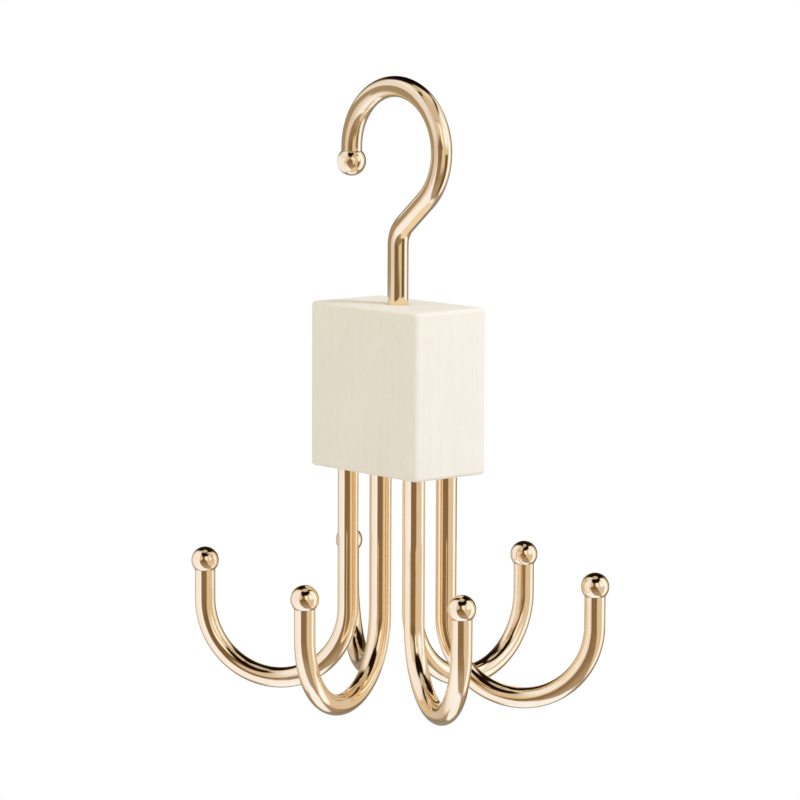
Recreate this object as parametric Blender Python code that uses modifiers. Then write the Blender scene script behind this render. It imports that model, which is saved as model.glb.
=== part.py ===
"""Belt hanger: a painted wooden block that turns under a rail hook and carries six J-shaped belt hooks.

Blender 4.5, metres, +Z up. The origin is on the axis that the block turns about, at the height where the
closet rail bears on the inside of the rail hook's crown. The block's wide faces look along -Y and +Y.
"""

import math

import bmesh
import bpy
from mathutils import Matrix, Vector

# Rail hook: a bent wire whose shank turns in the block
RAIL_WIRE_DIAMETER = 0.0050
RAIL_BEND_RADIUS = 0.0152
RAIL_TIP_LEG = 0.0033
RAIL_TIP_OVERHANG = 0.0010
CROWN_OFFSET = 0.0008
SLOPE_ANGLE = math.radians(49.0)
NECK_BEND_RADIUS = 0.0069
EXPOSED_SHANK_LENGTH = 0.0141
RAIL_HOOK_TURN = math.radians(3.6)

# Block
BLOCK_HEIGHT = 0.0400
BLOCK_EDGE_RADIUS = 0.0010
COLUMN_PITCH = 0.01215
ROW_SPACING = 0.01014
END_MARGIN = 0.00715
FACE_MARGIN = 0.00603

# Belt hooks: stem down, half a turn, short tip leg up
BELT_WIRE_DIAMETER = 0.0050
BELT_BEND_RADIUS = 0.01855
BELT_STEM_DROP = 0.0347
BELT_TIP_LEG = 0.0095
BELT_TIP_OVERHANG = 0.00085
SOCKET_DEPTH = 0.0150
STEM_LEAD_IN = 0.0006

# Spigots that the drilled balls are pressed on
SPIGOT_SHOULDER = 0.0010
SPIGOT_LENGTH = 0.0026

# Swivel inside the block: a turned groove and two pins across it
SHANK_WEB = 0.0045
SHANK_LEAD_IN = 0.0006
GROOVE_DEPTH = 0.0009
GROOVE_ABOVE_SHANK_END = 0.0060
PIN_DIAMETER = 0.0016
PIN_LENGTH = 0.0120

# Clearance between pieces that touch, and the slope of a turned shoulder
SEAT_GAP = 0.0003
SHOULDER_RUN = 0.0002

# Facets
WIRE_BEVEL_RESOLUTION = 6
BELT_BEND_STEPS = 24
CROWN_STEPS = 32
NECK_STEPS = 6
BALL_PROFILE_STEPS = 12
BALL_TURN_STEPS = 20
BORE_VERTICES = 32
PIN_VERTICES = 16
EDGE_SEGMENTS = 3
SCREW_MERGE = 0.00001
SHARP_EDGE_ANGLE = math.radians(40.0)

# Finishes: name, colour as the photograph shows it (sRGB, 0 to 1), metallic and roughness
CREAM_PAINT = ("cream_painted_wood", (0.93, 0.90, 0.85), 0.0, 0.45)
PLATED_WIRE = ("champagne_plated_wire", (0.93, 0.78, 0.62), 1.0, 0.08)
PLATED_BALL = ("champagne_plated_ball", (0.93, 0.78, 0.62), 1.0, 0.05)
BRIGHT_STEEL = ("bright_steel_pin", (0.78, 0.78, 0.78), 1.0, 0.3)

# Compass direction in which each belt hook leaves the block, and its column and row in the block's underside
BELT_HOOKS = {
    "front_left": (-1, -1, math.radians(-149.3)),
    "front_middle": (0, -1, math.radians(-69.3)),
    "front_right": (1, -1, math.radians(-24.4)),
    "rear_right": (1, 1, math.radians(30.2)),
    "rear_middle": (0, 1, math.radians(90.3)),
    "rear_left": (-1, 1, math.radians(151.1)),
}

# Sizes worked out from the ones above
RAIL_WIRE_RADIUS = RAIL_WIRE_DIAMETER / 2
BELT_WIRE_RADIUS = BELT_WIRE_DIAMETER / 2
PIN_RADIUS = PIN_DIAMETER / 2
BLOCK_LENGTH = 2 * (COLUMN_PITCH + END_MARGIN)
BLOCK_DEPTH = ROW_SPACING + 2 * FACE_MARGIN
CROWN_CENTRE_Z = RAIL_WIRE_RADIUS - RAIL_BEND_RADIUS
NECK_SIDE_RUN = NECK_BEND_RADIUS * (1 - math.cos(SLOPE_ANGLE))
CROWN_SIDE_RUN = RAIL_BEND_RADIUS * math.cos(SLOPE_ANGLE) - CROWN_OFFSET
SLOPE_LENGTH = (CROWN_SIDE_RUN - NECK_SIDE_RUN) / math.sin(SLOPE_ANGLE)
SLOPE_TOP_Z = CROWN_CENTRE_Z - RAIL_BEND_RADIUS * math.sin(SLOPE_ANGLE)
SLOPE_FOOT_Z = SLOPE_TOP_Z - SLOPE_LENGTH * math.cos(SLOPE_ANGLE)
NECK_FOOT_Z = SLOPE_FOOT_Z - NECK_BEND_RADIUS * math.sin(SLOPE_ANGLE)
BLOCK_TOP_Z = NECK_FOOT_Z - EXPOSED_SHANK_LENGTH
SHANK_DEPTH = BLOCK_HEIGHT - SOCKET_DEPTH - SHANK_WEB
SHANK_END_Z = BLOCK_TOP_Z - SHANK_DEPTH
GROOVE_Z = SHANK_END_Z + GROOVE_ABOVE_SHANK_END
GROOVE_HALF_WIDTH = PIN_RADIUS + SEAT_GAP
GROOVE_RADIUS = RAIL_WIRE_RADIUS - GROOVE_DEPTH
PIN_OFFSET = GROOVE_RADIUS + SEAT_GAP + PIN_RADIUS


def clear_scene():
    for obj in list(bpy.data.objects):
        bpy.data.objects.remove(obj)


def new_collection(name):
    collection = bpy.data.collections.new(name)
    bpy.context.scene.collection.children.link(collection)
    return collection


def new_material(name, colour, metallic, roughness):
    """A Principled material, whose sRGB colour is turned to linear."""
    material = bpy.data.materials.new(name)
    material.use_nodes = True
    linear = [((c + 0.055) / 1.055) ** 2.4 if c > 0.04045 else c / 12.92 for c in colour]
    shader = material.node_tree.nodes["Principled BSDF"]
    shader.inputs["Base Color"].default_value = (*linear, 1)
    shader.inputs["Metallic"].default_value = metallic
    shader.inputs["Roughness"].default_value = roughness
    material.diffuse_color = (*linear, 1)
    return material


def place(name, data, collection, material, location, parent=None):
    """Adds one piece. With a parent, the location is in the parent's own frame."""
    obj = bpy.data.objects.new(name, data)
    obj.location = location
    obj.parent = parent
    collection.objects.link(obj)
    if material and not data.materials:
        data.materials.append(material)
    return obj


def arc(centre_x, centre_z, radius, start, end, steps):
    """Points of an arc in the XZ plane, angles measured from +X towards +Z, without its first point."""
    angles = [start + (end - start) * i / steps for i in range(1, steps + 1)]
    return [Vector((centre_x + radius * math.cos(a), 0, centre_z + radius * math.sin(a))) for a in angles]


def turned_wire(name, stations, wire_radius):
    """A round wire along points in the XZ plane. Each station is a point and the wire's radius there."""
    curve = bpy.data.curves.new(name, "CURVE")
    curve.dimensions = "3D"
    curve.bevel_depth = wire_radius
    curve.bevel_resolution = WIRE_BEVEL_RESOLUTION
    curve.use_fill_caps = True
    spline = curve.splines.new("POLY")
    spline.points.add(len(stations) - 1)
    for point, (position, radius) in zip(spline.points, stations):
        point.co = (*position, 1)
        point.radius = radius / wire_radius
    return curve


def spigot_stations(tip, wire_radius):
    """The wire's last stations, going straight up to the ball at tip: a turned shoulder and the spigot."""
    radius = wire_radius - SPIGOT_SHOULDER
    shoulder = tip - Vector((0, 0, SEAT_GAP))
    foot = shoulder + Vector((0, 0, SHOULDER_RUN))
    end = shoulder + Vector((0, 0, SPIGOT_LENGTH))
    return [(shoulder, wire_radius), (foot, radius), (end, radius)]


def hanging_spigot(flat, wire_radius):
    """The same spigot as spigot_stations, pointing down, for the rail hook's tip leg."""
    down = Matrix.Rotation(math.pi, 4, "X")
    turned = spigot_stations(Vector((0, 0, 0)), wire_radius)
    return [(flat + down @ point, radius) for point, radius in turned]


def ball_flat_drop(wire_radius, overhang):
    """How far below the ball's centre its flat lies, where the ball is as wide as the wire."""
    return math.sqrt((wire_radius + overhang) ** 2 - wire_radius**2)


def rail_hook_wire():
    """Shank with its groove, neck bend, slope, crown bend and tip leg, from the shank's end to the spigot."""
    wire, groove = RAIL_WIRE_RADIUS, GROOVE_RADIUS
    shank = [
        (SHANK_END_Z, wire - SHANK_LEAD_IN),
        (SHANK_END_Z + SHANK_LEAD_IN, wire),
        (GROOVE_Z - GROOVE_HALF_WIDTH - SHOULDER_RUN, wire),
        (GROOVE_Z - GROOVE_HALF_WIDTH, groove),
        (GROOVE_Z + GROOVE_HALF_WIDTH, groove),
        (GROOVE_Z + GROOVE_HALF_WIDTH + SHOULDER_RUN, wire),
        (NECK_FOOT_Z, wire),
    ]
    stations = [(Vector((0, 0, z)), radius) for z, radius in shank]
    neck = arc(NECK_BEND_RADIUS, NECK_FOOT_Z, NECK_BEND_RADIUS, math.pi, math.pi - SLOPE_ANGLE, NECK_STEPS)
    slope_top = Vector((CROWN_SIDE_RUN, 0, SLOPE_TOP_Z))
    crown = arc(-CROWN_OFFSET, CROWN_CENTRE_Z, RAIL_BEND_RADIUS, -SLOPE_ANGLE, math.pi, CROWN_STEPS)
    stations += [(point, wire) for point in [*neck, slope_top, *crown]]
    flat = rail_tip_centre() + Vector((0, 0, ball_flat_drop(wire, RAIL_TIP_OVERHANG)))
    return stations + hanging_spigot(flat, wire)


def rail_tip_centre():
    return Vector((-CROWN_OFFSET - RAIL_BEND_RADIUS, 0, CROWN_CENTRE_Z - RAIL_TIP_LEG))


def belt_tip_centre():
    """In a belt hook's own frame: origin at its socket's mouth, stem along Z, tip on the +X side."""
    return Vector((2 * BELT_BEND_RADIUS, 0, BELT_TIP_LEG - BELT_STEM_DROP))


def belt_hook_wire():
    """Stem from inside its socket down to the bend, half a turn, and the tip leg up to the spigot."""
    wire = BELT_WIRE_RADIUS
    stations = [
        (Vector((0, 0, SOCKET_DEPTH)), wire - STEM_LEAD_IN),
        (Vector((0, 0, SOCKET_DEPTH - STEM_LEAD_IN)), wire),
        (Vector((0, 0, -BELT_STEM_DROP)), wire),
    ]
    bend = arc(BELT_BEND_RADIUS, -BELT_STEM_DROP, BELT_BEND_RADIUS, math.pi, 2 * math.pi, BELT_BEND_STEPS)
    stations += [(point, wire) for point in bend]
    flat = belt_tip_centre() - Vector((0, 0, ball_flat_drop(wire, BELT_TIP_OVERHANG)))
    return stations + spigot_stations(flat, wire)


def ball_profile(name, wire_radius, overhang):
    """Half outline of a drilled ball, run down its outer side from the top pole and back up its blind bore."""
    radius = wire_radius + overhang
    drop = ball_flat_drop(wire_radius, overhang)
    bore_radius = wire_radius - SPIGOT_SHOULDER + SEAT_GAP
    bore_top = SPIGOT_LENGTH - drop
    last = math.acos(-drop / radius)
    turns = [last * i / BALL_PROFILE_STEPS for i in range(BALL_PROFILE_STEPS + 1)]
    outline = [Vector((radius * math.sin(t), 0, radius * math.cos(t))) for t in turns]
    outline += [Vector((bore_radius, 0, -drop)), Vector((bore_radius, 0, bore_top)), Vector((0, 0, bore_top))]
    mesh = bpy.data.meshes.new(name)
    mesh.from_pydata(outline, [(i, i + 1) for i in range(len(outline) - 1)], [])
    return mesh


def add_screw(obj):
    """Turns the profile a full circle about the piece's own Z axis."""
    screw = obj.modifiers.new("turning", "SCREW")
    screw.steps = BALL_TURN_STEPS
    screw.render_steps = BALL_TURN_STEPS
    screw.use_merge_vertices = True
    screw.merge_threshold = SCREW_MERGE
    screw.use_smooth_shade = True


def block_mesh():
    """The block's plain box, with its origin in the middle of its top face."""
    mesh = bpy.data.meshes.new("block")
    size = Matrix.Diagonal((BLOCK_LENGTH, BLOCK_DEPTH, BLOCK_HEIGHT, 1))
    shape = bmesh.new()
    bmesh.ops.create_cube(shape, size=1, matrix=Matrix.Translation((0, 0, -BLOCK_HEIGHT / 2)) @ size)
    shape.to_mesh(mesh)
    shape.free()
    mesh.shade_smooth()
    return mesh


def rod_mesh(name, radius, length, vertices, axis_matrix):
    """A closed cylinder centred on its origin, along Z before axis_matrix turns it."""
    mesh = bpy.data.meshes.new(name)
    shape = bmesh.new()
    bmesh.ops.create_cone(
        shape,
        cap_ends=True,
        segments=vertices,
        radius1=radius,
        radius2=radius,
        depth=length,
        matrix=axis_matrix,
    )
    shape.to_mesh(mesh)
    shape.free()
    return mesh


def add_cut(block, cutter):
    """Takes the cutter's space out of the block and keeps the cutter itself out of the render."""
    cutter.hide_render = True
    cutter.display_type = "WIRE"
    cut = block.modifiers.new(cutter.name, "BOOLEAN")
    cut.operation = "DIFFERENCE"
    cut.solver = "EXACT"
    cut.object = cutter


def socket_mouths():
    """Each belt hook's name with its socket's mouth in the block's underside, in the block's own frame."""
    return {
        name: Vector((column * COLUMN_PITCH, row * ROW_SPACING / 2, -BLOCK_HEIGHT))
        for name, (column, row, _) in BELT_HOOKS.items()
    }


def add_block(collection, cutters, material):
    """The block with rounded edges, six blind sockets below, the shank's bore above and the two pins' bores."""
    block = place("block", block_mesh(), collection, material, (0, 0, BLOCK_TOP_Z))
    edges = block.modifiers.new("rounded_edges", "BEVEL")
    edges.width = BLOCK_EDGE_RADIUS
    edges.segments = EDGE_SEGMENTS
    edges.limit_method = "ANGLE"
    edges.harden_normals = True

    upright = Matrix.Identity(4)
    socket = rod_mesh(
        "socket_cutter", BELT_WIRE_RADIUS + SEAT_GAP, 2 * (SOCKET_DEPTH + SEAT_GAP), BORE_VERTICES, upright
    )
    for name, mouth in socket_mouths().items():
        add_cut(block, place(f"socket_cutter_{name}", socket, cutters, None, mouth, block))

    bore = rod_mesh(
        "shank_bore_cutter", RAIL_WIRE_RADIUS + SEAT_GAP, 2 * (SHANK_DEPTH + SEAT_GAP), BORE_VERTICES, upright
    )
    add_cut(block, place("shank_bore_cutter", bore, cutters, None, (0, 0, 0), block))

    across = Matrix.Rotation(math.pi / 2, 4, "X")
    pin_bore = rod_mesh(
        "pin_bore_cutter", PIN_RADIUS + SEAT_GAP, PIN_LENGTH + 2 * SEAT_GAP, BORE_VERTICES, across
    )
    for side, location in pin_places().items():
        add_cut(block, place(f"pin_bore_cutter_{side}", pin_bore, cutters, None, location, block))
    return block


def pin_places():
    """The retaining pins' middles in the block's own frame, one on each side of the shank's groove."""
    height = GROOVE_Z - BLOCK_TOP_Z
    return {"left": Vector((-PIN_OFFSET, 0, height)), "right": Vector((PIN_OFFSET, 0, height))}


def add_pins(collection, block, material):
    across = Matrix.Rotation(math.pi / 2, 4, "X")
    mesh = rod_mesh("retaining_pin", PIN_RADIUS, PIN_LENGTH, PIN_VERTICES, across)
    mesh.shade_smooth()
    mesh.set_sharp_from_angle(angle=SHARP_EDGE_ANGLE)
    for side, location in pin_places().items():
        place(f"retaining_pin_{side}", mesh, collection, material, location, block)


def add_rail_hook(collection, wire_material, ball_material):
    """The wire turns about Z at the origin. Its ball hangs on the tip leg, flat side up."""
    curve = turned_wire("rail_hook", rail_hook_wire(), RAIL_WIRE_RADIUS)
    hook = place("rail_hook", curve, collection, wire_material, (0, 0, 0))
    hook.rotation_euler.z = RAIL_HOOK_TURN
    profile = ball_profile("rail_hook_tip", RAIL_WIRE_RADIUS, RAIL_TIP_OVERHANG)
    tip = place("rail_hook_tip", profile, collection, ball_material, rail_tip_centre(), hook)
    tip.rotation_euler.x = math.pi
    add_screw(tip)


def add_belt_hooks(collection, block, wire_material, ball_material):
    """Six alike hooks and their balls, each hook turned to its own direction about its stem."""
    curve = turned_wire("belt_hook", belt_hook_wire(), BELT_WIRE_RADIUS)
    profile = ball_profile("belt_hook_tip", BELT_WIRE_RADIUS, BELT_TIP_OVERHANG)
    mouths = socket_mouths()
    for name, (_, _, direction) in BELT_HOOKS.items():
        hook = place(f"belt_hook_{name}", curve, collection, wire_material, mouths[name], block)
        hook.rotation_euler.z = direction
        tip = place(f"belt_hook_tip_{name}", profile, collection, ball_material, belt_tip_centre(), hook)
        add_screw(tip)


def build():
    clear_scene()
    pieces = new_collection("belt_hanger")
    cutters = new_collection("cutters")
    plated_wire, plated_ball = new_material(*PLATED_WIRE), new_material(*PLATED_BALL)
    add_rail_hook(pieces, plated_wire, plated_ball)
    block = add_block(pieces, cutters, new_material(*CREAM_PAINT))
    add_pins(pieces, block, new_material(*BRIGHT_STEEL))
    add_belt_hooks(pieces, block, plated_wire, plated_ball)


build()
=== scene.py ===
import math

import bmesh
import bpy
import numpy as np
from mathutils import Matrix, Vector


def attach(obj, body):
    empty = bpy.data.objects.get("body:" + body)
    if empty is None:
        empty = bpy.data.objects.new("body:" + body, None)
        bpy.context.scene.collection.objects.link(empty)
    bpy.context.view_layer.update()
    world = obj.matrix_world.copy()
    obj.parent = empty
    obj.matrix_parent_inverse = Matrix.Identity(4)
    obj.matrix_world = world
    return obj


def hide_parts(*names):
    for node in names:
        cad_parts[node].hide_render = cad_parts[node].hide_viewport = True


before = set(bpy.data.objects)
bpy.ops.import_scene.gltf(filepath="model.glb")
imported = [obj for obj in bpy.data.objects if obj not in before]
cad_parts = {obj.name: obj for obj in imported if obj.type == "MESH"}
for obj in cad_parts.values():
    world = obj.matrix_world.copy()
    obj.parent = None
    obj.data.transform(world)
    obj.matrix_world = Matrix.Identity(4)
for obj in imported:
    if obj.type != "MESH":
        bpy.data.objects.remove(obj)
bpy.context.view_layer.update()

# Rail hook, in metres. The origin lies on the swivel's axis, where the closet rail bears.
WIRE_RADIUS = 0.0025
RAIL_BEND_RADIUS = 0.0152
RAIL_TIP_LEG = 0.0033
RAIL_BALL_RADIUS = 0.0035
CROWN_OFFSET = 0.0008
SLOPE_ANGLE = math.radians(49.0)
NECK_BEND_RADIUS = 0.0069
EXPOSED_SHANK_LENGTH = 0.0141
RAIL_HOOK_TURN = math.radians(3.6)
SHANK_DEPTH = 0.0205
GROOVE_ABOVE_SHANK_END = 0.0060
GROOVE_HALF_WIDTH = 0.0011
GROOVE_RADIUS = 0.0016

# Block
BLOCK_HALF_LENGTH = 0.0193
BLOCK_HALF_DEPTH = 0.0111
BLOCK_HEIGHT = 0.0400
EDGE_RADIUS = 0.0010
COLUMN_PITCH = 0.01215
ROW_SPACING = 0.01014
SOCKET_DEPTH = 0.0150
BORE_GAP = 0.00015
PAINT_LIP = 0.0002

# Belt hooks
BELT_BEND_RADIUS = 0.01855
BELT_STEM_DROP = 0.0347
BELT_TIP_LEG = 0.0095
BELT_BALL_RADIUS = 0.00335

# Ends of the wires: lead-in, and the spigot that a drilled ball is pressed on, all but touching it
LEAD_IN = 0.0006
SHOULDER_RUN = 0.0002
SPIGOT_RADIUS = 0.0015
SPIGOT_LENGTH = 0.0026
SEAM = 0.00004

# Belt hooks: column and row in the block's underside, and the compass direction of each one
BELT_HOOKS = {
    "front_left": (-1, -1, math.radians(-149.3)),
    "front_middle": (0, -1, math.radians(-69.3)),
    "front_right": (1, -1, math.radians(-24.4)),
    "rear_right": (1, 1, math.radians(30.2)),
    "rear_middle": (0, 1, math.radians(90.3)),
    "rear_left": (-1, 1, math.radians(151.1)),
}

# Heights and lengths worked out from the sizes above
CROWN_CENTRE_Z = WIRE_RADIUS - RAIL_BEND_RADIUS
NECK_SIDE_RUN = NECK_BEND_RADIUS * (1 - math.cos(SLOPE_ANGLE))
CROWN_SIDE_RUN = RAIL_BEND_RADIUS * math.cos(SLOPE_ANGLE) - CROWN_OFFSET
SLOPE_LENGTH = (CROWN_SIDE_RUN - NECK_SIDE_RUN) / math.sin(SLOPE_ANGLE)
SLOPE_TOP_Z = CROWN_CENTRE_Z - RAIL_BEND_RADIUS * math.sin(SLOPE_ANGLE)
SLOPE_FOOT_Z = SLOPE_TOP_Z - SLOPE_LENGTH * math.cos(SLOPE_ANGLE)
BLOCK_TOP_Z = SLOPE_FOOT_Z - NECK_BEND_RADIUS * math.sin(SLOPE_ANGLE) - EXPOSED_SHANK_LENGTH
BLOCK_BOTTOM_Z = BLOCK_TOP_Z - BLOCK_HEIGHT
SHANK_END_Z = BLOCK_TOP_Z - SHANK_DEPTH

# Fineness of the surfaces
WIRE_SIDES = 72
BEND_STEP = math.radians(1.5)
BALL_TURN_STEPS = 96
BALL_PROFILE_STEPS = 60
CELL_STEPS = 10
EDGE_STEPS = 8
HOLE_STEPS = 4
WELD = 0.000001
SHARP_ANGLE = math.radians(35)

# Front view: the photograph's own viewpoint
VIEW_AZIMUTH = math.radians(48.755)
VIEW_ELEVATION = math.radians(7.354)
VIEW_ROLL = math.radians(0.25)
VIEW_DISTANCE = 0.92211
VIEW_SIDE_STEP = 0.000617
VIEW_TARGET_Z = -0.072508
SENSOR_WIDTH = 36.0
LENS = 173.02
CLIP_START = 0.01
CLIP_END = 100.0

# Patterns. Sizes and reliefs are in millimetres. A size is along X, Y and Z, or on a wire around it
# and along it, and a relief is the height that a bump has where its pattern is 1.
MM = 0.001
NOISE_RANGE = (0.3, 0.7)
SOFT_DETAIL = 1.0
FINE_DETAIL = 3.0

# Champagne plating
PLATING_TINTS = ("#f8dfbd", "#f6dbb4")
UNEVEN_SIZE = (5, 5, 9)
UNEVEN_RELIEF = 0.016
DRAWING_SIZE = (0.5, 25, 1)
DRAWING_RELIEF = 0.0004
WIRE_ROUGHNESS = (0.045, 0.085)
BALL_ROUGHNESS = (0.03, 0.055)

# Painted beech
PAINT_TONES = ("#f5f1ea", "#f2eee7")
TONE_SIZE = (12, 12, 20)
BRUSH_COLOUR = "#e9e3d9"
BRUSH_SIZE = (0.8, 0.8, 24)
BRUSH_SHARE = 0.25
BRUSH_RELIEF = 0.01
FLECK_COLOUR = "#d8cdb8"
FLECK_SIZE = (0.5, 0.5, 3.2)
FLECK_START = 0.8
FLECK_SHARE = 0.13
FLECK_RELIEF = 0.02
PAINT_ROUGHNESS = (0.55, 0.65)
PAINT_SPECULAR = 0.1

# Drawn steel
STEEL_TINTS = ("#cdccc9", "#bebdbb")
STREAK_SIZE = (0.2, 10, 0.2)
STREAK_RELIEF = 0.001
STEEL_ROUGHNESS = (0.22, 0.36)

# Light and floor. Places are a compass angle and an elevation in degrees, and levels are shares of
# plain white. Where a single mirror shows the surround, the ray's depth there is 2.
WHITE = "#ffffff"
FILL_SIDE = (-50, 40)
FILL_LIGHT = "#f3efda"
LIGHT_OPPOSITE = "#d6d8e2"
FIRST_MIRROR_DEPTH = 2.0
SECOND_MIRROR_SHARE = 0.35
SECOND_MIRROR_LEVEL = 1.45
SECOND_MIRROR_COLOUR = "#effcff"
KEY_LAMP_PLACE = (62, 45)
KEY_LAMP_DISTANCE = 1.2
KEY_LAMP_SIZE = 0.2
KEY_LAMP_LEVEL = 0.385
KEY_LAMP_COLOUR = "#f0f0ff"
FLOOR_COLOUR = "#eeeded"
FLOOR_Z = -0.26
FLOOR_RADIUS = 4.0
FLOOR_FADE_START = 0.15
FLOOR_FADE_END = 0.36
FLOOR_RINGS = 24
FLOOR_SIDES = 96
CARD_STEPS = 12


def linear(code):
    """An sRGB hex code as linear red, green, blue and alpha, by the standard's own curve."""
    shares = [int(code[i:i + 2], 16) / 255 for i in (1, 3, 5)]
    return [s / 12.92 if s <= 0.04045 else ((s + 0.055) / 1.055) ** 2.4 for s in shares] + [1.0]


def tube_mesh(name, rings, along, around, poles=None):
    """A closed skin over rings[i, j], point j of ring i, with t = j parts of a full turn and a fan
    of triangles on each end's middle. Its UV map holds real lengths in metres: U around a ring and
    V along the path."""
    rows, columns = rings.shape[:2]
    middles = [rings[0].mean(0), rings[-1].mean(0)] if poles is None else poles
    points = np.concatenate([rings.reshape(-1, 3), middles])
    row, column = np.meshgrid(np.arange(rows - 1), np.arange(columns), indexing="ij")
    after = (column + 1) % columns
    this_ring, next_ring = row * columns, (row + 1) * columns
    quads = np.stack([this_ring + column, this_ring + after, next_ring + after, next_ring + column], -1)
    j, base = np.arange(columns), (rows - 1) * columns
    foot = np.stack([np.full(columns, rows * columns), (j + 1) % columns, j], -1)
    head = np.stack([np.full(columns, rows * columns + 1), base + j, base + (j + 1) % columns], -1)
    mesh = bpy.data.meshes.new(name)
    mesh.from_pydata(points.tolist(), [], quads.reshape(-1, 4).tolist() + foot.tolist() + head.tolist())
    step = around / columns
    quad_uv = np.stack([np.stack([column, column + 1, column + 1, column], -1) * step,
                        np.stack([along[row], along[row], along[row + 1], along[row + 1]], -1)], -1)
    foot_uv = np.stack([np.stack([j + 0.5, j + 1, j], -1) * step, np.full((columns, 3), along[0])], -1)
    head_uv = np.stack([np.stack([j + 0.5, j, j + 1], -1) * step, np.full((columns, 3), along[-1])], -1)
    uv = np.concatenate([quad_uv.reshape(-1, 2), foot_uv.reshape(-1, 2), head_uv.reshape(-1, 2)])
    mesh.uv_layers.new(name="lengths").data.foreach_set("uv", uv.astype(np.float32).ravel())
    return mesh


def turned(points, angle, place):
    """Points turned about Z, x' = x cos - y sin and y' = x sin + y cos, then moved by the place."""
    c, s = math.cos(angle), math.sin(angle)
    return points @ np.array([[c, s, 0], [-s, c, 0], [0, 0, 1]]) + np.array(place)


def show(mesh, material, body, cad_node):
    """Shades the mesh smooth but for its turned corners, and lets it ride its body in place of its
    CAD node."""
    mesh.validate()
    mesh.shade_smooth()
    mesh.set_sharp_from_angle(angle=SHARP_ANGLE)
    mesh.materials.append(material)
    piece = bpy.data.objects.new(mesh.name, mesh)
    bpy.context.scene.collection.objects.link(piece)
    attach(piece, body)
    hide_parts(cad_node)


def straight(length, end_radius=WIRE_RADIUS):
    """A bench row: the wire is fed straight, and its own radius runs evenly to the one given."""
    return length, 0.0, end_radius


def bend(bend_radius, angle):
    """A bench row: the wire is wound round a former with its centre line on the radius,
    counterclockwise where the angle is above 0."""
    return bend_radius * abs(angle), angle, WIRE_RADIUS


def wire_rings(start, heading, first_radius, rows):
    """Rings along a wire as a bending bench makes it, and how far along it each ring lies.
    A row of length L that turns by A has the heading h = h0 + A s / L at the length s. Its centre
    line is p0 + s (cos h0, sin h0) where A is 0, and elsewhere
    p0 + (sin h - sin h0, cos h0 - cos h) L / A. The ring there is p + r (cos t N + sin t Y), where
    N = (sin h, -cos h) in the XZ plane is square to the wire's own direction (cos h, sin h)."""
    stations = [np.array([[*start, heading, first_radius, 0.0]])]
    for length, angle, radius in rows:
        x, z, h0, before, run = stations[-1][-1]
        steps = max(1, math.ceil(abs(angle) / BEND_STEP))
        share = np.arange(1, steps + 1) / steps
        h = h0 + angle * share
        if angle:
            side = (np.sin(h) - np.sin(h0)) * length / angle
            rise = (np.cos(h0) - np.cos(h)) * length / angle
        else:
            side = length * share * np.cos(h0)
            rise = length * share * np.sin(h0)
        radii = before + (radius - before) * share
        stations.append(np.stack([x + side, z + rise, h, radii, run + length * share], -1))
    x, z, h, r, along = np.concatenate(stations).T[:, :, None]
    t = np.arange(WIRE_SIDES) * 2 * np.pi / WIRE_SIDES
    rings = np.stack([x + r * np.cos(t) * np.sin(h), r * np.sin(t), z - r * np.cos(t) * np.cos(h)], -1)
    return rings, along[:, 0]


def spigot():
    """Bench rows of a wire's turned end: a shoulder as wide as the wire, then the thin part inside
    the ball."""
    return [straight(SHOULDER_RUN, SPIGOT_RADIUS), straight(SPIGOT_LENGTH - SHOULDER_RUN, SPIGOT_RADIUS)]


def flat_drop(ball_radius):
    """How far a ball's flat lies from its middle: where the ball is just as wide as the wire."""
    return math.sqrt(ball_radius**2 - WIRE_RADIUS**2)


def ball_rings(ball_radius):
    """Rings of a drilled ball with its flat below, how far along its outline each ring lies, and
    its two poles. The outline (r, z) runs down the bore, out over the flat, and up the sphere as
    (R sin a, R cos a), with the angle a from the flat to 0."""
    drop = flat_drop(ball_radius)
    bore = SPIGOT_RADIUS + SEAM
    a = np.linspace(math.acos(-drop / ball_radius), 0, BALL_PROFILE_STEPS + 1)[:-1]
    inside = [[bore, SPIGOT_LENGTH + SEAM - drop], [bore, -drop]]
    outline = np.concatenate([inside, np.stack([ball_radius * np.sin(a), ball_radius * np.cos(a)], -1)])
    along = np.concatenate([[0], np.cumsum(np.hypot(*np.diff(outline, axis=0).T))])
    t = np.arange(BALL_TURN_STEPS) * 2 * np.pi / BALL_TURN_STEPS
    r, z = outline.T[:, :, None]
    rings = np.stack([r * np.cos(t), r * np.sin(t), z + 0 * t], -1)
    poles = np.array([[0, 0, SPIGOT_LENGTH + SEAM - drop], [0, 0, ball_radius]])
    return rings, along, poles


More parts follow.
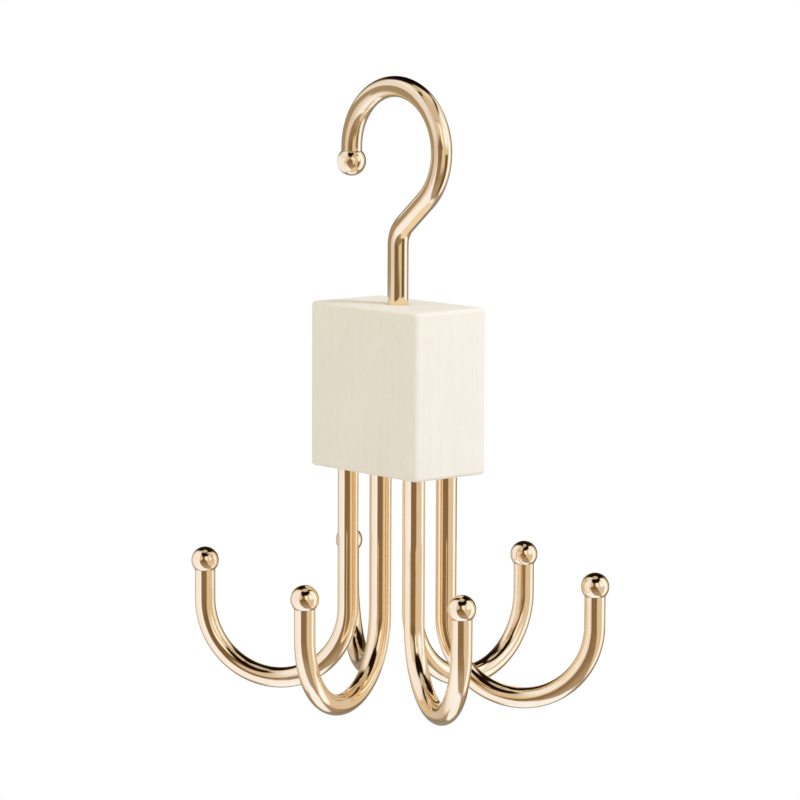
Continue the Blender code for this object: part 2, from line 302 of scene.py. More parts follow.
def rail_hook(wire_finish, ball_finish):
    """Shank with its groove, neck, slope, crown and tip leg, and the ball that hangs on it with its
    flat up."""
    groove_foot = GROOVE_ABOVE_SHANK_END - GROOVE_HALF_WIDTH
    above_groove = SHANK_DEPTH + EXPOSED_SHANK_LENGTH - groove_foot - 2 * GROOVE_HALF_WIDTH
    drop = flat_drop(RAIL_BALL_RADIUS)
    rows = [
        straight(LEAD_IN),
        straight(groove_foot - LEAD_IN - SHOULDER_RUN),
        straight(SHOULDER_RUN, GROOVE_RADIUS),
        straight(2 * GROOVE_HALF_WIDTH, GROOVE_RADIUS),
        straight(SHOULDER_RUN),
        straight(above_groove - SHOULDER_RUN),
        bend(NECK_BEND_RADIUS, -SLOPE_ANGLE),
        straight(SLOPE_LENGTH),
        bend(RAIL_BEND_RADIUS, math.pi + SLOPE_ANGLE),
        straight(RAIL_TIP_LEG - drop - SEAM),
        *spigot(),
    ]
    rings, along = wire_rings((0, SHANK_END_Z), math.pi / 2, WIRE_RADIUS - LEAD_IN, rows)
    rings = turned(rings, RAIL_HOOK_TURN, (0, 0, 0))
    mesh = tube_mesh("rail_hook_wire", rings, along, 2 * math.pi * WIRE_RADIUS)
    show(mesh, wire_finish, "hook", "rail_hook")

    rings, along, poles = ball_rings(RAIL_BALL_RADIUS)
    upside_down = np.array([1, -1, -1])
    centre = np.array([-CROWN_OFFSET - RAIL_BEND_RADIUS, 0, CROWN_CENTRE_Z - RAIL_TIP_LEG])
    rings = turned(rings * upside_down + centre, RAIL_HOOK_TURN, (0, 0, 0))
    poles = turned(poles * upside_down + centre, RAIL_HOOK_TURN, (0, 0, 0))
    mesh = tube_mesh("rail_hook_ball", rings, along, 2 * math.pi * RAIL_BALL_RADIUS, poles)
    show(mesh, ball_finish, "hook", "rail_hook_tip")


def belt_hooks(wire_finish, ball_finish):
    """Six alike hooks, each turned about its stem: stem down, half a turn, and the tip leg up to
    its ball."""
    drop = flat_drop(BELT_BALL_RADIUS)
    rows = [
        straight(LEAD_IN),
        straight(SOCKET_DEPTH + BELT_STEM_DROP - LEAD_IN),
        bend(BELT_BEND_RADIUS, math.pi),
        straight(BELT_TIP_LEG - drop - SEAM),
        *spigot(),
    ]
    rings, along = wire_rings((0, SOCKET_DEPTH), -math.pi / 2, WIRE_RADIUS - LEAD_IN, rows)
    ball, ball_along, poles = ball_rings(BELT_BALL_RADIUS)
    centre = np.array([2 * BELT_BEND_RADIUS, 0, BELT_TIP_LEG - BELT_STEM_DROP])
    for name, (column, row, direction) in BELT_HOOKS.items():
        mouth = (column * COLUMN_PITCH, row * ROW_SPACING / 2, BLOCK_BOTTOM_Z)
        wire_mesh = tube_mesh(f"belt_hook_wire_{name}", turned(rings, direction, mouth), along,
                              2 * math.pi * WIRE_RADIUS)
        show(wire_mesh, wire_finish, "block", f"belt_hook_{name}")
        ball_mesh = tube_mesh(f"belt_hook_ball_{name}", turned(ball + centre, direction, mouth),
                              ball_along, 2 * math.pi * BELT_BALL_RADIUS,
                              turned(poles + centre, direction, mouth))
        show(ball_mesh, ball_finish, "block", f"belt_hook_tip_{name}")


def sheet_faces(rows, columns, first):
    """Quads of an open grid whose points are numbered row by row from the number given."""
    row, column = np.meshgrid(np.arange(rows - 1), np.arange(columns - 1), indexing="ij")
    corner = first + row * columns + column
    return np.stack([corner, corner + 1, corner + columns + 1, corner + columns], -1).reshape(-1, 4)


def loop_of(xs, ys):
    """The border of the rectangle with the given divisions along X and Y, counterclockwise and
    closed."""
    south = np.stack([xs, np.full_like(xs, ys[0])], -1)
    east = np.stack([np.full_like(ys, xs[-1]), ys], -1)
    north = np.stack([xs[::-1], np.full_like(xs, ys[-1])], -1)
    west = np.stack([np.full_like(ys, xs[0]), ys[::-1]], -1)
    return np.concatenate([south[:-1], east[:-1], north[:-1], west])


def drilled_cell(border, centre, radius, face_z, depth, up):
    """A flat cell round a hole, and the hole: straight lines from the border to the mouth's lip, a
    quarter-round lip, and the wall in to a floor whose last ring is a single point. The lip's point
    at the angle q lies l (1 - sin q) outside the hole's wall and l (1 - cos q) deep, where l is the
    lip's radius."""
    away = border - centre
    away = away / np.linalg.norm(away, axis=1, keepdims=True)
    mouth = centre + away * (radius + PAINT_LIP)
    flat = [border + (mouth - border) * k / HOLE_STEPS for k in range(HOLE_STEPS + 1)]
    rings = [np.column_stack([ring, np.full(len(ring), face_z)]) for ring in flat]
    for q in np.linspace(0, math.pi / 2, HOLE_STEPS + 1)[1:]:
        ring = centre + away * (radius + PAINT_LIP * (1 - math.sin(q)))
        sunk = face_z - up * PAINT_LIP * (1 - math.cos(q))
        rings.append(np.column_stack([ring, np.full(len(ring), sunk)]))
    floor = np.full(len(border), face_z - up * depth)
    rings.append(np.column_stack([centre + away * radius, floor]))
    rings.append(np.column_stack([centre + 0 * away, floor]))
    return np.array(rings)


def block(finish):
    """The painted block. Its wall is a rectangle's border carried from the top's edge to the
    bottom's. With the border's point p and its outward direction n, the wall's point is
    p + e cos v n at the height c + e sin v, where e is the edge's radius. The angle v runs from a
    quarter turn to 0 at the top's height c, and then from 0 to minus a quarter turn at the
    bottom's. A drilled sheet closes the top, and six drilled cells close the underside."""
    core_x, core_y = BLOCK_HALF_LENGTH - EDGE_RADIUS, BLOCK_HALF_DEPTH - EDGE_RADIUS
    x_borders = np.array([-core_x, -COLUMN_PITCH / 2, COLUMN_PITCH / 2, core_x])
    y_borders = np.array([-core_y, 0, core_y])
    share = np.arange(CELL_STEPS) / CELL_STEPS
    xs = np.append((x_borders[:-1, None] + np.diff(x_borders)[:, None] * share).ravel(), core_x)
    ys = np.append((y_borders[:-1, None] + np.diff(y_borders)[:, None] * share).ravel(), core_y)

    # Counterclockwise from the east side. At a corner the point stays and its direction turns.
    points, outward = [], []
    for quarter, line in enumerate([ys, xs[::-1], ys[::-1], xs]):
        fixed = np.full_like(line, (core_x, core_y, -core_x, -core_y)[quarter])
        points.append(np.stack([fixed, line] if quarter in (0, 2) else [line, fixed], -1))
        outward.append(np.full(len(line), quarter * math.pi / 2))
        turn = quarter * math.pi / 2 + np.arange(1, EDGE_STEPS) * math.pi / 2 / EDGE_STEPS
        points.append(np.repeat(points[-1][-1:], EDGE_STEPS - 1, 0))
        outward.append(turn)
    border = np.concatenate(points + [points[0][:1]])
    angle = np.concatenate(outward + [[2 * math.pi]])
    direction = np.stack([np.cos(angle), np.sin(angle)], -1)
    v = np.linspace(math.pi / 2, 0, EDGE_STEPS + 1)
    reach = EDGE_RADIUS * np.concatenate([np.cos(v), np.cos(v[::-1])])
    lift = EDGE_RADIUS * np.sin(v)
    upper = BLOCK_TOP_Z - EDGE_RADIUS + lift
    lower = BLOCK_BOTTOM_Z + EDGE_RADIUS - lift[::-1]
    height = np.concatenate([upper, lower])
    flat = border + reach[:, None, None] * direction
    wall = np.concatenate([flat, np.broadcast_to(height[:, None, None], flat.shape[:2] + (1,))], -1)

    hole = WIRE_RADIUS + BORE_GAP
    bore_depth = SHANK_DEPTH + BORE_GAP
    socket_depth = SOCKET_DEPTH + BORE_GAP
    sheets = [wall, drilled_cell(loop_of(xs, ys), np.zeros(2), hole, BLOCK_TOP_Z, bore_depth, 1)]
    for column, row, _ in BELT_HOOKS.values():
        first_x = (column + 1) * CELL_STEPS
        first_y = (row + 1) // 2 * CELL_STEPS
        cell = loop_of(xs[first_x:first_x + CELL_STEPS + 1], ys[first_y:first_y + CELL_STEPS + 1])
        centre = np.array([column * COLUMN_PITCH, row * ROW_SPACING / 2])
        sheets.append(drilled_cell(cell, centre, hole, BLOCK_BOTTOM_Z, socket_depth, -1))
    firsts = np.cumsum([0] + [s.shape[0] * s.shape[1] for s in sheets])
    faces = np.concatenate([sheet_faces(*s.shape[:2], first) for s, first in zip(sheets, firsts)])
    mesh = bpy.data.meshes.new("painted_block")
    mesh.from_pydata(np.concatenate([s.reshape(-1, 3) for s in sheets]).tolist(), [], faces.tolist())
    shape = bmesh.new()
    shape.from_mesh(mesh)
    bmesh.ops.remove_doubles(shape, verts=shape.verts, dist=WELD)
    bmesh.ops.recalc_face_normals(shape, faces=shape.faces)
    shape.to_mesh(mesh)
    shape.free()
    show(mesh, finish, "block", "block")


def node(tree, kind, settings, inputs):
    """Adds a node and gives its outputs. Its inputs go by name, or by number where two share a
    name, and each is given as a plain value or as the socket that feeds it."""
    made = tree.nodes.new(kind)
    for key, value in settings.items():
        setattr(made, key, value)
    for key, value in inputs.items():
        if isinstance(value, bpy.types.NodeSocket):
            tree.links.new(value, made.inputs[key])
        else:
            made.inputs[key].default_value = value
    return made.outputs


def new_material(name):
    """An empty node material, and its node tree."""
    material = bpy.data.materials.new(name)
    material.use_nodes = True
    material.node_tree.nodes.clear()
    return material, material.node_tree


def marks(tree, place, sizes, detail):
    """A pattern from 0 to 1 whose marks are about as large as the three sizes in millimetres."""
    frequency = [1 / (MM * size) for size in sizes]
    stretched = node(tree, "ShaderNodeVectorMath", {"operation": "MULTIPLY"}, {
        0: place, 1: frequency})["Vector"]
    noise = node(tree, "ShaderNodeTexNoise", {}, {
        "Vector": stretched, "Scale": 1.0, "Detail": detail})["Fac"]
    return node(tree, "ShaderNodeMapRange", {}, {
        "Value": noise, "From Min": NOISE_RANGE[0], "From Max": NOISE_RANGE[1]})["Result"]


def champagne_plating(name, low_roughness, high_roughness):
    """Champagne gold electroplate over bright nickel on drawn steel, polished: a pale warm mirror.
    The wire's drawing marks, half a millimetre wide and run along it, still break the mirror up
    very slightly, and the plating is uneven over a few millimetres, which lets the mirrored edges
    waver and the tint drift."""
    material, tree = new_material(name)
    place = node(tree, "ShaderNodeTexCoord", {}, {})["Object"]
    lengths = node(tree, "ShaderNodeUVMap", {"uv_map": "lengths"}, {})["UV"]
    uneven = marks(tree, place, UNEVEN_SIZE, SOFT_DETAIL)
    drawing = marks(tree, lengths, DRAWING_SIZE, FINE_DETAIL)
    tint = node(tree, "ShaderNodeMix", {"data_type": "RGBA"}, {
        "Factor": uneven, "A": linear(PLATING_TINTS[0]), "B": linear(PLATING_TINTS[1])})["Result"]
    gloss = node(tree, "ShaderNodeMapRange", {}, {
        "Value": drawing, "To Min": low_roughness, "To Max": high_roughness})["Result"]
    wavy = node(tree, "ShaderNodeBump", {}, {
        "Strength": 1.0, "Distance": UNEVEN_RELIEF * MM, "Height": uneven})["Normal"]
    normal = node(tree, "ShaderNodeBump", {}, {
        "Strength": 1.0, "Distance": DRAWING_RELIEF * MM, "Height": drawing, "Normal": wavy})["Normal"]
    shader = node(tree, "ShaderNodeBsdfPrincipled", {}, {
        "Base Color": tint, "Metallic": 1.0, "Roughness": gloss, "Normal": normal})["BSDF"]
    node(tree, "ShaderNodeOutputMaterial", {}, {"Surface": shader})
    return material


def painted_beech():
    """Cream furniture paint, brushed upright over sanded beech: matt with a low sheen. Upright
    brush marks just under a millimetre wide and the wood's short flecks show faintly through it,
    drawn a little coarser than they are so that they show, and the tone drifts a little over a
    centimetre or two."""
    material, tree = new_material("cream_painted_beech")
    place = node(tree, "ShaderNodeTexCoord", {}, {})["Object"]
    brush = marks(tree, place, BRUSH_SIZE, FINE_DETAIL)
    fleck = marks(tree, place, FLECK_SIZE, SOFT_DETAIL)
    tone = marks(tree, place, TONE_SIZE, SOFT_DETAIL)
    paint = node(tree, "ShaderNodeMix", {"data_type": "RGBA"}, {
        "Factor": tone, "A": linear(PAINT_TONES[0]), "B": linear(PAINT_TONES[1])})["Result"]
    brushed = node(tree, "ShaderNodeMapRange", {}, {"Value": brush, "To Max": BRUSH_SHARE})["Result"]
    streaked = node(tree, "ShaderNodeMix", {"data_type": "RGBA"}, {
        "Factor": brushed, "A": paint, "B": linear(BRUSH_COLOUR)})["Result"]
    flecked = node(tree, "ShaderNodeMapRange", {"interpolation_type": "SMOOTHSTEP"}, {
        "Value": fleck, "From Min": FLECK_START, "To Max": FLECK_SHARE})["Result"]
    colour = node(tree, "ShaderNodeMix", {"data_type": "RGBA"}, {
        "Factor": flecked, "A": streaked, "B": linear(FLECK_COLOUR)})["Result"]
    ridges = node(tree, "ShaderNodeBump", {}, {
        "Strength": 1.0, "Distance": BRUSH_RELIEF * MM, "Height": brush})["Normal"]
    normal = node(tree, "ShaderNodeBump", {}, {
        "Strength": 1.0, "Distance": FLECK_RELIEF * MM, "Height": flecked, "Normal": ridges})["Normal"]
    sheen = node(tree, "ShaderNodeMapRange", {}, {
        "Value": brush, "To Min": PAINT_ROUGHNESS[0], "To Max": PAINT_ROUGHNESS[1]})["Result"]
    shader = node(tree, "ShaderNodeBsdfPrincipled", {}, {
        "Base Color": colour, "Specular IOR Level": PAINT_SPECULAR, "Roughness": sheen,
        "Normal": normal})["BSDF"]
    node(tree, "ShaderNodeOutputMaterial", {}, {"Surface": shader})
    return material


def drawn_steel():
    """Bright mild steel wire, drawn: light grey metal with soft streaks along its length, which
    lies along Y."""
    material, tree = new_material("drawn_steel_pin")
    place = node(tree, "ShaderNodeTexCoord", {}, {})["Object"]
    streaks = marks(tree, place, STREAK_SIZE, FINE_DETAIL)
    tint = node(tree, "ShaderNodeMix", {"data_type": "RGBA"}, {
        "Factor": streaks, "A": linear(STEEL_TINTS[0]), "B": linear(STEEL_TINTS[1])})["Result"]
    normal = node(tree, "ShaderNodeBump", {}, {
        "Strength": 1.0, "Distance": STREAK_RELIEF * MM, "Height": streaks})["Normal"]
    gloss = node(tree, "ShaderNodeMapRange", {}, {
        "Value": streaks, "To Min": STEEL_ROUGHNESS[0], "To Max": STEEL_ROUGHNESS[1]})["Result"]
    shader = node(tree, "ShaderNodeBsdfPrincipled", {}, {
        "Base Color": tint, "Metallic": 1.0, "Roughness": gloss, "Normal": normal})["BSDF"]
    node(tree, "ShaderNodeOutputMaterial", {}, {"Surface": shader})
    return material


def retaining_pins(finish):
    """The two hidden pins keep their CAD shape and get the finish of drawn steel."""
    for side in ("left", "right"):
        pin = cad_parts[f"retaining_pin_{side}"]
        pin.data.materials.clear()
        pin.data.materials.append(finish)


def toward(azimuth, elevation):
    """The direction (sin A cos E, -cos A cos E, sin E) of an elevation E, where A is the front
    view's azimuth and a compass angle together. The compass angle is 0 towards the front view and
    grows to its right, and it and the elevation are given in degrees."""
    a, e = VIEW_AZIMUTH + math.radians(azimuth), math.radians(elevation)
    return Vector((math.sin(a) * math.cos(e), -math.cos(a) * math.cos(e), math.sin(e)))


def round_card(tree, look, centre, radius):
    """How deep a direction lies inside a round card, in radians: the radius less the angle to its
    centre."""
    cosine = node(tree, "ShaderNodeVectorMath", {"operation": "DOT_PRODUCT"}, {
        0: look, 1: toward(*centre)})["Value"]
    angle = node(tree, "ShaderNodeMath", {"operation": "ARCCOSINE"}, {0: cosine})["Value"]
    return node(tree, "ShaderNodeMath", {"operation": "SUBTRACT"}, {
        0: math.radians(radius), 1: angle})["Value"]


def flat_card(tree, look, *corners):
    """How deep a direction lies inside a card with straight edges: the sine of its angle from the
    nearest of the planes that each hold the object and one edge."""
    ends = [toward(*corner) for corner in corners]
    middle = sum(ends, Vector())
    depth = None
    for first, second in zip(ends, ends[1:] + ends[:1]):
        inward = first.cross(second).normalized()
        inward = -inward if inward.dot(middle) < 0 else inward
        side = node(tree, "ShaderNodeVectorMath", {"operation": "DOT_PRODUCT"}, {
            0: look, 1: inward})["Value"]
        depth = side if depth is None else node(tree, "ShaderNodeMath", {"operation": "MINIMUM"}, {
            0: depth, 1: side})["Value"]
    return depth


def studio():
    """The surround. The camera sees plain white, matt surfaces get a plain level that is warmer
    from the left and from above, and polished ones see the studio's cards. What has been mirrored
    twice, between the wires, also gets an even level, as from the small lights that a real studio
    has between its cards."""
    world = bpy.data.worlds.new("studio")
    world.use_nodes = True
    tree = world.node_tree
    tree.nodes.clear()
    look = node(tree, "ShaderNodeTexCoord", {}, {})["Object"]
    cards = linear(GROUND)
    for shape, places, softness, code, strength in STUDIO_CARDS:
        edge = math.radians(softness)
        inside = node(tree, "ShaderNodeMapRange", {"interpolation_type": "SMOOTHSTEP"}, {
            "Value": shape(tree, look, *places), "From Min": -edge, "From Max": edge})["Result"]
        lit = [strength * share for share in linear(code)]
        cards = node(tree, "ShaderNodeMix", {"data_type": "RGBA"}, {
            "Factor": inside, "A": cards, "B": lit})["Result"]
    path = node(tree, "ShaderNodeLightPath", {}, {})
    again = node(tree, "ShaderNodeMapRange", {}, {
        "Value": path["Ray Depth"], "From Min": FIRST_MIRROR_DEPTH, "From Max": FIRST_MIRROR_DEPTH + 1,
        "To Max": SECOND_MIRROR_SHARE})["Result"]
    even = [SECOND_MIRROR_LEVEL * share for share in linear(SECOND_MIRROR_COLOUR)]
    mirrored = node(tree, "ShaderNodeMix", {"data_type": "RGBA"}, {
        "Factor": again, "A": cards, "B": even})["Result"]

    facing = node(tree, "ShaderNodeVectorMath", {"operation": "DOT_PRODUCT"}, {
        0: look, 1: toward(*FILL_SIDE)})["Value"]
    share = node(tree, "ShaderNodeMapRange", {}, {
        "Value": facing, "From Min": -1.0, "From Max": 1.0})["Result"]
    level = node(tree, "ShaderNodeMix", {"data_type": "RGBA"}, {
        "Factor": share, "A": linear(LIGHT_OPPOSITE), "B": linear(FILL_LIGHT)})["Result"]

    surround = node(tree, "ShaderNodeMix", {"data_type": "RGBA"}, {
        "Factor": path["Is Glossy Ray"], "A": level, "B": mirrored})["Result"]
    seen = node(tree, "ShaderNodeMath", {"operation": "MAXIMUM"}, {
        0: path["Is Camera Ray"], 1: path["Is Transmission Ray"]})["Value"]
    colour = node(tree, "ShaderNodeMix", {"data_type": "RGBA"}, {
        "Factor": seen, "A": surround, "B": linear(WHITE)})["Result"]
    light = node(tree, "ShaderNodeBackground", {}, {"Color": colour})["Background"]
    node(tree, "ShaderNodeOutputWorld", {}, {"Surface": light})
    bpy.context.scene.world = world


def key_lamp():
    """A soft square lamp to the right of the front view, which lays the shank's shadow over the
    block's top. A power of pi squared times the distance squared times a level shows that level on
    white that faces the lamp."""
    data = bpy.data.lights.new("key_lamp", "AREA")
    data.shape = "SQUARE"
    data.size = KEY_LAMP_SIZE
    data.energy = math.pi**2 * KEY_LAMP_DISTANCE**2 * KEY_LAMP_LEVEL
    data.color = linear(KEY_LAMP_COLOUR)[:3]
    lamp = bpy.data.objects.new("key_lamp", data)
    away = toward(*KEY_LAMP_PLACE)
    turn = away.to_track_quat("Z", "Y").to_matrix().to_4x4()
    lamp.matrix_world = Matrix.Translation(KEY_LAMP_DISTANCE * away) @ turn
    lamp.visible_glossy = False
    bpy.context.scene.collection.objects.link(lamp)


def pale_floor():
    """A round matt floor, (r cos t, r sin t), well below the hanger, which hangs free. Away from
    its middle it turns into the surround's plain white for the camera, and from below it is clear.
    Polished metal sees the studio's cards in its place."""
    r = FLOOR_RADIUS * np.linspace(0, 1, FLOOR_RINGS + 1)[1:, None]
    t = np.arange(FLOOR_SIDES) * 2 * np.pi / FLOOR_SIDES
    rings = np.stack([r * np.cos(t), r * np.sin(t), FLOOR_Z + 0 * r * t], -1)
    points = np.concatenate([[[0, 0, FLOOR_Z]], rings.reshape(-1, 3)])
    ring, side = np.meshgrid(np.arange(FLOOR_RINGS - 1), np.arange(FLOOR_SIDES), indexing="ij")
    after = (side + 1) % FLOOR_SIDES
    inner, outer = 1 + ring * FLOOR_SIDES, 1 + (ring + 1) * FLOOR_SIDES
    quads = np.stack([inner + side, outer + side, outer + after, inner + after], -1).reshape(-1, 4)
    middle = np.stack([0 * after[0], 1 + side[0], 1 + after[0]], -1)
    mesh = bpy.data.meshes.new("floor")
    mesh.from_pydata(points.tolist(), [], middle.tolist() + quads.tolist())
    material, tree = new_material("matt_white_floor")
    place = node(tree, "ShaderNodeTexCoord", {}, {})["Object"]
    flat = node(tree, "ShaderNodeVectorMath", {"operation": "MULTIPLY"}, {
        0: place, 1: (1, 1, 0)})["Vector"]
    run = node(tree, "ShaderNodeVectorMath", {"operation": "LENGTH"}, {0: flat})["Value"]
    fade = node(tree, "ShaderNodeMapRange", {"interpolation_type": "SMOOTHSTEP"}, {
        "Value": run, "From Min": FLOOR_FADE_START, "From Max": FLOOR_FADE_END})["Result"]
    seen = node(tree, "ShaderNodeLightPath", {}, {})["Is Camera Ray"]
    share = node(tree, "ShaderNodeMath", {"operation": "MULTIPLY"}, {0: fade, 1: seen})["Value"]
    matt = node(tree, "ShaderNodeBsdfDiffuse", {}, {"Color": linear(FLOOR_COLOUR)})["BSDF"]
    white = node(tree, "ShaderNodeEmission", {}, {"Color": linear(WHITE), "Strength": 1.0})["Emission"]
    clear = node(tree, "ShaderNodeBsdfTransparent", {}, {})["BSDF"]
    above = node(tree, "ShaderNodeMixShader", {}, {"Fac": share, 1: matt, 2: white})["Shader"]
    below = node(tree, "ShaderNodeNewGeometry", {}, {})["Backfacing"]
    surface = node(tree, "ShaderNodeMixShader", {}, {"Fac": below, 1: above, 2: clear})["Shader"]
    node(tree, "ShaderNodeOutputMaterial", {}, {"Surface": surface})
    mesh.materials.append(material)
    floor = bpy.data.objects.new("floor", mesh)
    floor.visible_glossy = False
    bpy.context.scene.collection.objects.link(floor)


def hung_card(name, corners, code, level, edge_share, cover):
    """A four-cornered card hung near the rail hook, which only polished metal sees, and only from
    its lit side. Its point is (1 - u)(1 - v) A + u (1 - v) B + u v C + (1 - u) v D, the corners
    given as how far to the front view's right, towards it, and up. It glows in its colour at the
    level given, fades over the share of its width along each edge, and covers what lies behind it
    by as much as given."""
    right, near, up = toward(90, 0), toward(0, 0), Vector((0, 0, 1))
    a, b, c, d = (np.array(x * right + y * near + z * up) for x, y, z in corners)
    shares = np.linspace(0, 1, CARD_STEPS + 1)
    u, v = (w[..., None] for w in np.meshgrid(shares, shares, indexing="ij"))
    points = (1 - u) * (1 - v) * a + u * (1 - v) * b + u * v * c + (1 - u) * v * d
    faces = sheet_faces(CARD_STEPS + 1, CARD_STEPS + 1, 0)[:, ::-1]
    mesh = bpy.data.meshes.new(name)
    mesh.from_pydata(points.reshape(-1, 3).tolist(), [], faces.tolist())
    uv = np.concatenate([u, v], -1).reshape(-1, 2)[faces.ravel()]
    mesh.uv_layers.new(name="shares").data.foreach_set("uv", uv.astype(np.float32).ravel())
    material, tree = new_material(name)
    place = node(tree, "ShaderNodeUVMap", {"uv_map": "shares"}, {})["UV"]
    opposite = node(tree, "ShaderNodeVectorMath", {"operation": "SUBTRACT"}, {
        0: (1, 1, 1), 1: place})["Vector"]
    inside = node(tree, "ShaderNodeVectorMath", {"operation": "MINIMUM"}, {
        0: place, 1: opposite})["Vector"]
    sides = node(tree, "ShaderNodeSeparateXYZ", {}, {"Vector": inside})
    nearest = node(tree, "ShaderNodeMath", {"operation": "MINIMUM"}, {
        0: sides["X"], 1: sides["Y"]})["Value"]
    full = node(tree, "ShaderNodeMapRange", {"interpolation_type": "SMOOTHSTEP"}, {
        "Value": nearest, "From Max": edge_share, "To Max": cover})["Result"]
    behind = node(tree, "ShaderNodeNewGeometry", {}, {})["Backfacing"]
    front = node(tree, "ShaderNodeMath", {"operation": "SUBTRACT"}, {0: 1.0, 1: behind})["Value"]
    share = node(tree, "ShaderNodeMath", {"operation": "MULTIPLY"}, {0: full, 1: front})["Value"]
    clear = node(tree, "ShaderNodeBsdfTransparent", {}, {})["BSDF"]
    lit = node(tree, "ShaderNodeEmission", {}, {"Color": linear(code), "Strength": level})["Emission"]
    surface = node(tree, "ShaderNodeMixShader", {}, {"Fac": share, 1: clear, 2: lit})["Shader"]
    node(tree, "ShaderNodeOutputMaterial", {}, {"Surface": surface})
    mesh.materials.append(material)
    card = bpy.data.objects.new(name, mesh)
    card.visible_camera = False
    card.visible_diffuse = False
    card.visible_shadow = False
    card.visible_transmission = False
    bpy.context.scene.collection.objects.link(card)


def camera():
    """The photograph's own viewpoint: a long lens from a little above, with the block's end face to
    the right. The camera's back is (cos E sin A, -cos E cos A, sin E), and its right is the level
    right rolled a little."""
    level = math.cos(VIEW_ELEVATION)
    sine, cosine = math.sin(VIEW_AZIMUTH), math.cos(VIEW_AZIMUTH)
    back = Vector((level * sine, -level * cosine, math.sin(VIEW_ELEVATION)))
    level_right = Vector((cosine, sine, 0))
    right = math.cos(VIEW_ROLL) * level_right + math.sin(VIEW_ROLL) * back.cross(level_right)
    place = Vector((0, 0, VIEW_TARGET_Z)) + VIEW_DISTANCE * back + VIEW_SIDE_STEP * level_right
    turn = Matrix((right, back.cross(right), back)).transposed().to_4x4()
    data = bpy.data.cameras.new("camera")
    data.sensor_width = SENSOR_WIDTH
    data.lens = LENS
    data.clip_start = CLIP_START
    data.clip_end = CLIP_END
    viewer = bpy.data.objects.new("camera", data)
    bpy.context.scene.collection.objects.link(viewer)
    viewer.matrix_world = Matrix.Translation(place) @ turn
    bpy.context.scene.camera = viewer
    bpy.context.scene.view_settings.view_transform = "Standard"


# Studio cards that polished metal mirrors, laid over each other in this order. Each has its shape,
# its corners as compass angle and elevation (or one centre and a radius), the softness of its edge,
# all in degrees, and its colour and strength. They are placed so that the wires mirror what the
# photographed ones do.
GROUND = "#7d6849"
STUDIO_CARDS = (
    # Below, in two steps paler than the brown ground, and a dark ceiling
    (round_card, ((0, -90), 80), 10, "#988267", 1.0),
    (round_card, ((0, -90), 54), 12, "#afa192", 1.0),
    (round_card, ((0, 90), 52), 8, "#261708", 1.0),
    # Wall behind: brown, dark above and grey below
    (flat_card, ((143, -50), (143, 45), (-152, 45), (-152, -50)), 7, "#5c4a2c", 1.0),
    (flat_card, ((137, 27), (132, 62), (-138, 62), (-150, 27)), 7, "#160c05", 1.0),
    (flat_card, ((146, -54), (146, -8), (-150, -8), (-150, -54)), 7, "#9b978c", 1.0),
    # Large soft box on the left: its dull top and sides, its bright middle, and its foot
    (flat_card, ((-58, 55), (-66, 74), (-104, 73), (-119, 50)), 5, "#e6dfd6", 1.0),
    (flat_card, ((-90, 64), (-113, 56), (-144, 33), (-158, 5), (-144, -28), (-124, -55), (-90, -60)), 4,
     "#d8cfc2", 1.0),
    (flat_card, ((-42, 2), (-27, 7), (-17, 20), (-22, 32), (-50, 53), (-66, 58), (-70, 0)), 4,
     "#e0dacf", 1.0),
    (flat_card, ((-48, -8), (-42, 20), (-58, 54), (-90, 64), (-118, 50), (-130, 10), (-123, -30)), 8,
     "#e2ebff", 1.3),
    (flat_card, ((-42, 2), (-60, 5), (-110, -10), (-122, -40), (-112, -64), (-60, -66), (-38, -40)), 5,
     "#e1e9ff", 1.33),
    (flat_card, ((2, -66), (-20, -53), (-43, -10), (-60, -4), (-100, -40), (-100, -66)), 3,
     "#dde7ff", 1.45),
    # Wide card on the right, with its brighter upper part, a round window and a tall strip light
    (flat_card, ((0, 36), (1, 20), (12, 3), (93, -55), (122, -36), (136, -5), (137, 24), (118, 46),
                 (90, 60)), 3, "#e2d9cd", 1.0),
    (flat_card, ((36, 10), (82, 5), (82, 52), (42, 40)), 6, "#e8efff", 1.15),
    (round_card, ((58, 19), 14), 7, "#d3e5ff", 1.65),
    (flat_card, ((83, -48), (96, -53), (108, -44), (112, -10), (111, 25), (104, 48), (88, 60), (81, 45)), 4,
     "#dbebff", 1.6),
    # Edge of the ceiling over the right-hand card, and a small window below it
    (flat_card, ((-34, 43), (6, 36), (28, 39), (60, 50), (82, 59), (82, 74), (-20, 74)), 3,
     "#1c1006", 1.0),
    (flat_card, ((4, 12), (22, 5), (28, 37), (4, 39)), 4, "#f7fdff", 1.16),
    # White table below and a grey panel straight above
    (round_card, ((0, -90), 23), 3, "#d1e1ff", 1.62),
    (flat_card, ((74, -60), (150, -55), (180, -54), (-158, -57), (-120, -62), (-120, -75), (74, -75)), 3,
     "#dceaff", 1.42),
    (round_card, ((0, 90), 16), 3, "#cec9c8", 1.0),
)

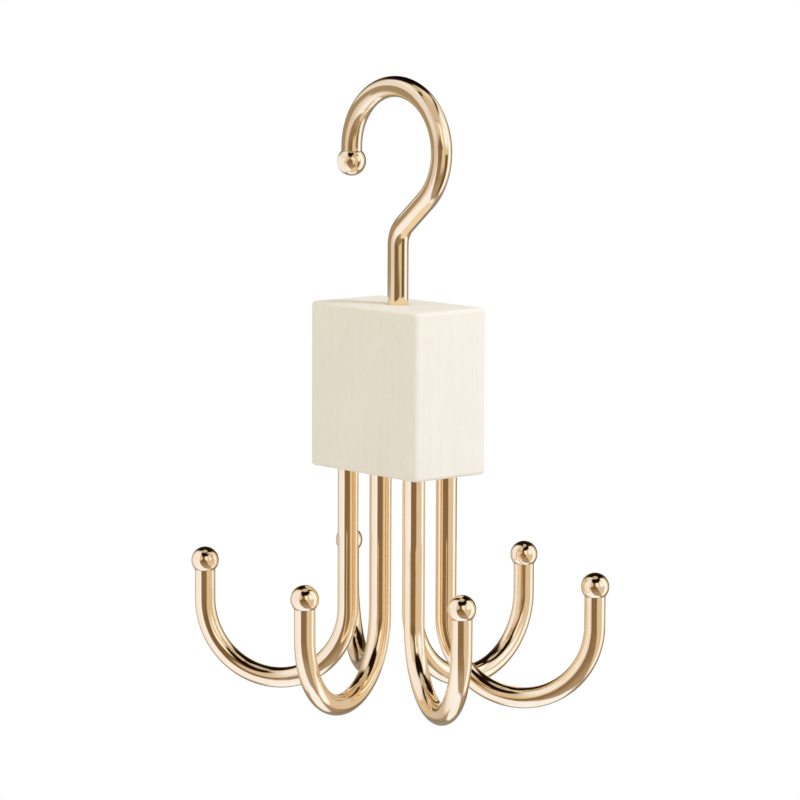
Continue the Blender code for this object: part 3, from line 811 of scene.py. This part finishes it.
# Cards hung close to the rail hook. Each has its name, its corners A to D in metres to the right,
# nearer and up, its colour and level, the share of its width that each edge fades over, and how
# much it covers. Their lit sides face the rail hook. The ones above it face down, where the block
# hides most of them from the belt hooks. The large ones beside it and below turn their clear sides
# to the belt hooks, so that these don't mirror them.
HUNG_CARDS = (
    # Above the crown: black at the rear, grey and pale in front, and two small dark ones
    ("rear_flag",
     ((-0.02, -0.06, 0.022), (0.03, -0.06, 0.022), (0.008, -0.002, 0.022), (-0.007, 0.0, 0.022)),
     "#0d0703", 1.0, 0.07, 1.0),
    ("overhead_card",
     ((0.0, 0.003, 0.0215), (0.02, -0.004, 0.0215), (0.036, 0.05, 0.0215), (-0.014, 0.05, 0.0215)),
     "#d4cec2", 1.0, 0.07, 1.0),
    ("overhead_panel",
     ((0.004, 0.001, 0.021), (0.019, -0.002, 0.021), (0.022, 0.014, 0.021), (0.002, 0.014, 0.021)),
     "#f6f0e4", 1.0, 0.3, 1.0),
    ("overhead_flag",
     ((0.018, -0.006, 0.0205), (0.025, -0.008, 0.0205), (0.034, 0.02, 0.0205), (0.023, 0.02, 0.0205)),
     "#4a3a1e", 1.0, 0.2, 1.0),
    ("notch_flag",
     ((-0.003, 0.010, 0.0205), (0.002, 0.010, 0.0205), (0.002, 0.016, 0.0205), (-0.004, 0.016, 0.0205)),
     "#1a0f04", 1.0, 0.15, 1.0),
    # On the left: a thin veil, a dull card over the soft box, a warm veil below, and a bright card
    # by the ball
    ("left_scrim",
     ((-0.02, 0.5, -0.034), (-0.02, -0.5, -0.034), (-0.5, -0.5, 0.43), (-0.5, 0.5, 0.43)),
     "#b5a894", 1.0, 0.02, 0.2),
    ("left_flag",
     ((-0.069, 0.012, -0.065), (-0.03, -0.063, -0.065), (-0.232, -0.498, 0.08), (-0.542, 0.095, 0.08)),
     "#a89b86", 1.0, 0.1, 1.0),
    ("low_scrim",
     ((-0.045, 0.054, -0.066), (-0.07, 0.005, -0.066), (-0.545, 0.048, 0.02), (-0.354, 0.421, 0.02)),
     "#d9c39d", 1.0, 0.15, 0.5),
    ("ball_card",
     ((-0.0148, -0.0071, -0.0245), (-0.0158, -0.0145, -0.0245), (-0.0162, -0.0147, -0.0137),
      (-0.0152, -0.0067, -0.0137)),
     "#e4ecff", 1.3, 0.1, 1.0),
    # On the right and in front: a brown card level with the block, and paler ones on both sides of
    # it and above
    ("right_flag",
     ((0.0155, 0.0185, -0.082), (0.643, 0.766, -0.082), (0.951, 0.309, -0.082), (0.0235, 0.0078, -0.082)),
     "#6e6048", 1.0, 0.05, 1.0),
    ("low_window",
     ((0.033, 0.05, -0.055), (0.003, 0.06, -0.055), (0.021, 0.4, 0.0), (0.218, 0.335, 0.0)),
     "#e6e1cb", 1.0, 0.15, 0.9),
    ("front_scrim",
     ((0.006, 0.06, -0.006), (-0.012, 0.059, -0.006), (-0.2, 0.46, 0.31), (0.03, 0.5, 0.31)),
     "#e6dac8", 1.0, 0.1, 1.0),
    ("edge_flag",
     ((0.03, -0.052, -0.07), (0.054, -0.025, -0.07), (0.453, -0.211, 0.0), (0.25, -0.433, 0.0)),
     "#acb0b8", 1.0, 0.15, 0.9),
    ("right_scrim",
     ((0.032, -0.051, -0.006), (0.056, -0.02, -0.006), (0.47, -0.171, 0.44), (0.265, -0.424, 0.44)),
     "#fffaf2", 1.0, 0.12, 0.95),
)

wire_finish = champagne_plating("champagne_plated_wire", *WIRE_ROUGHNESS)
ball_finish = champagne_plating("champagne_plated_ball", *BALL_ROUGHNESS)
rail_hook(wire_finish, ball_finish)
belt_hooks(wire_finish, ball_finish)
block(painted_beech())
retaining_pins(drawn_steel())
studio()
key_lamp()
pale_floor()
for card in HUNG_CARDS:
    hung_card(*card)
camera()
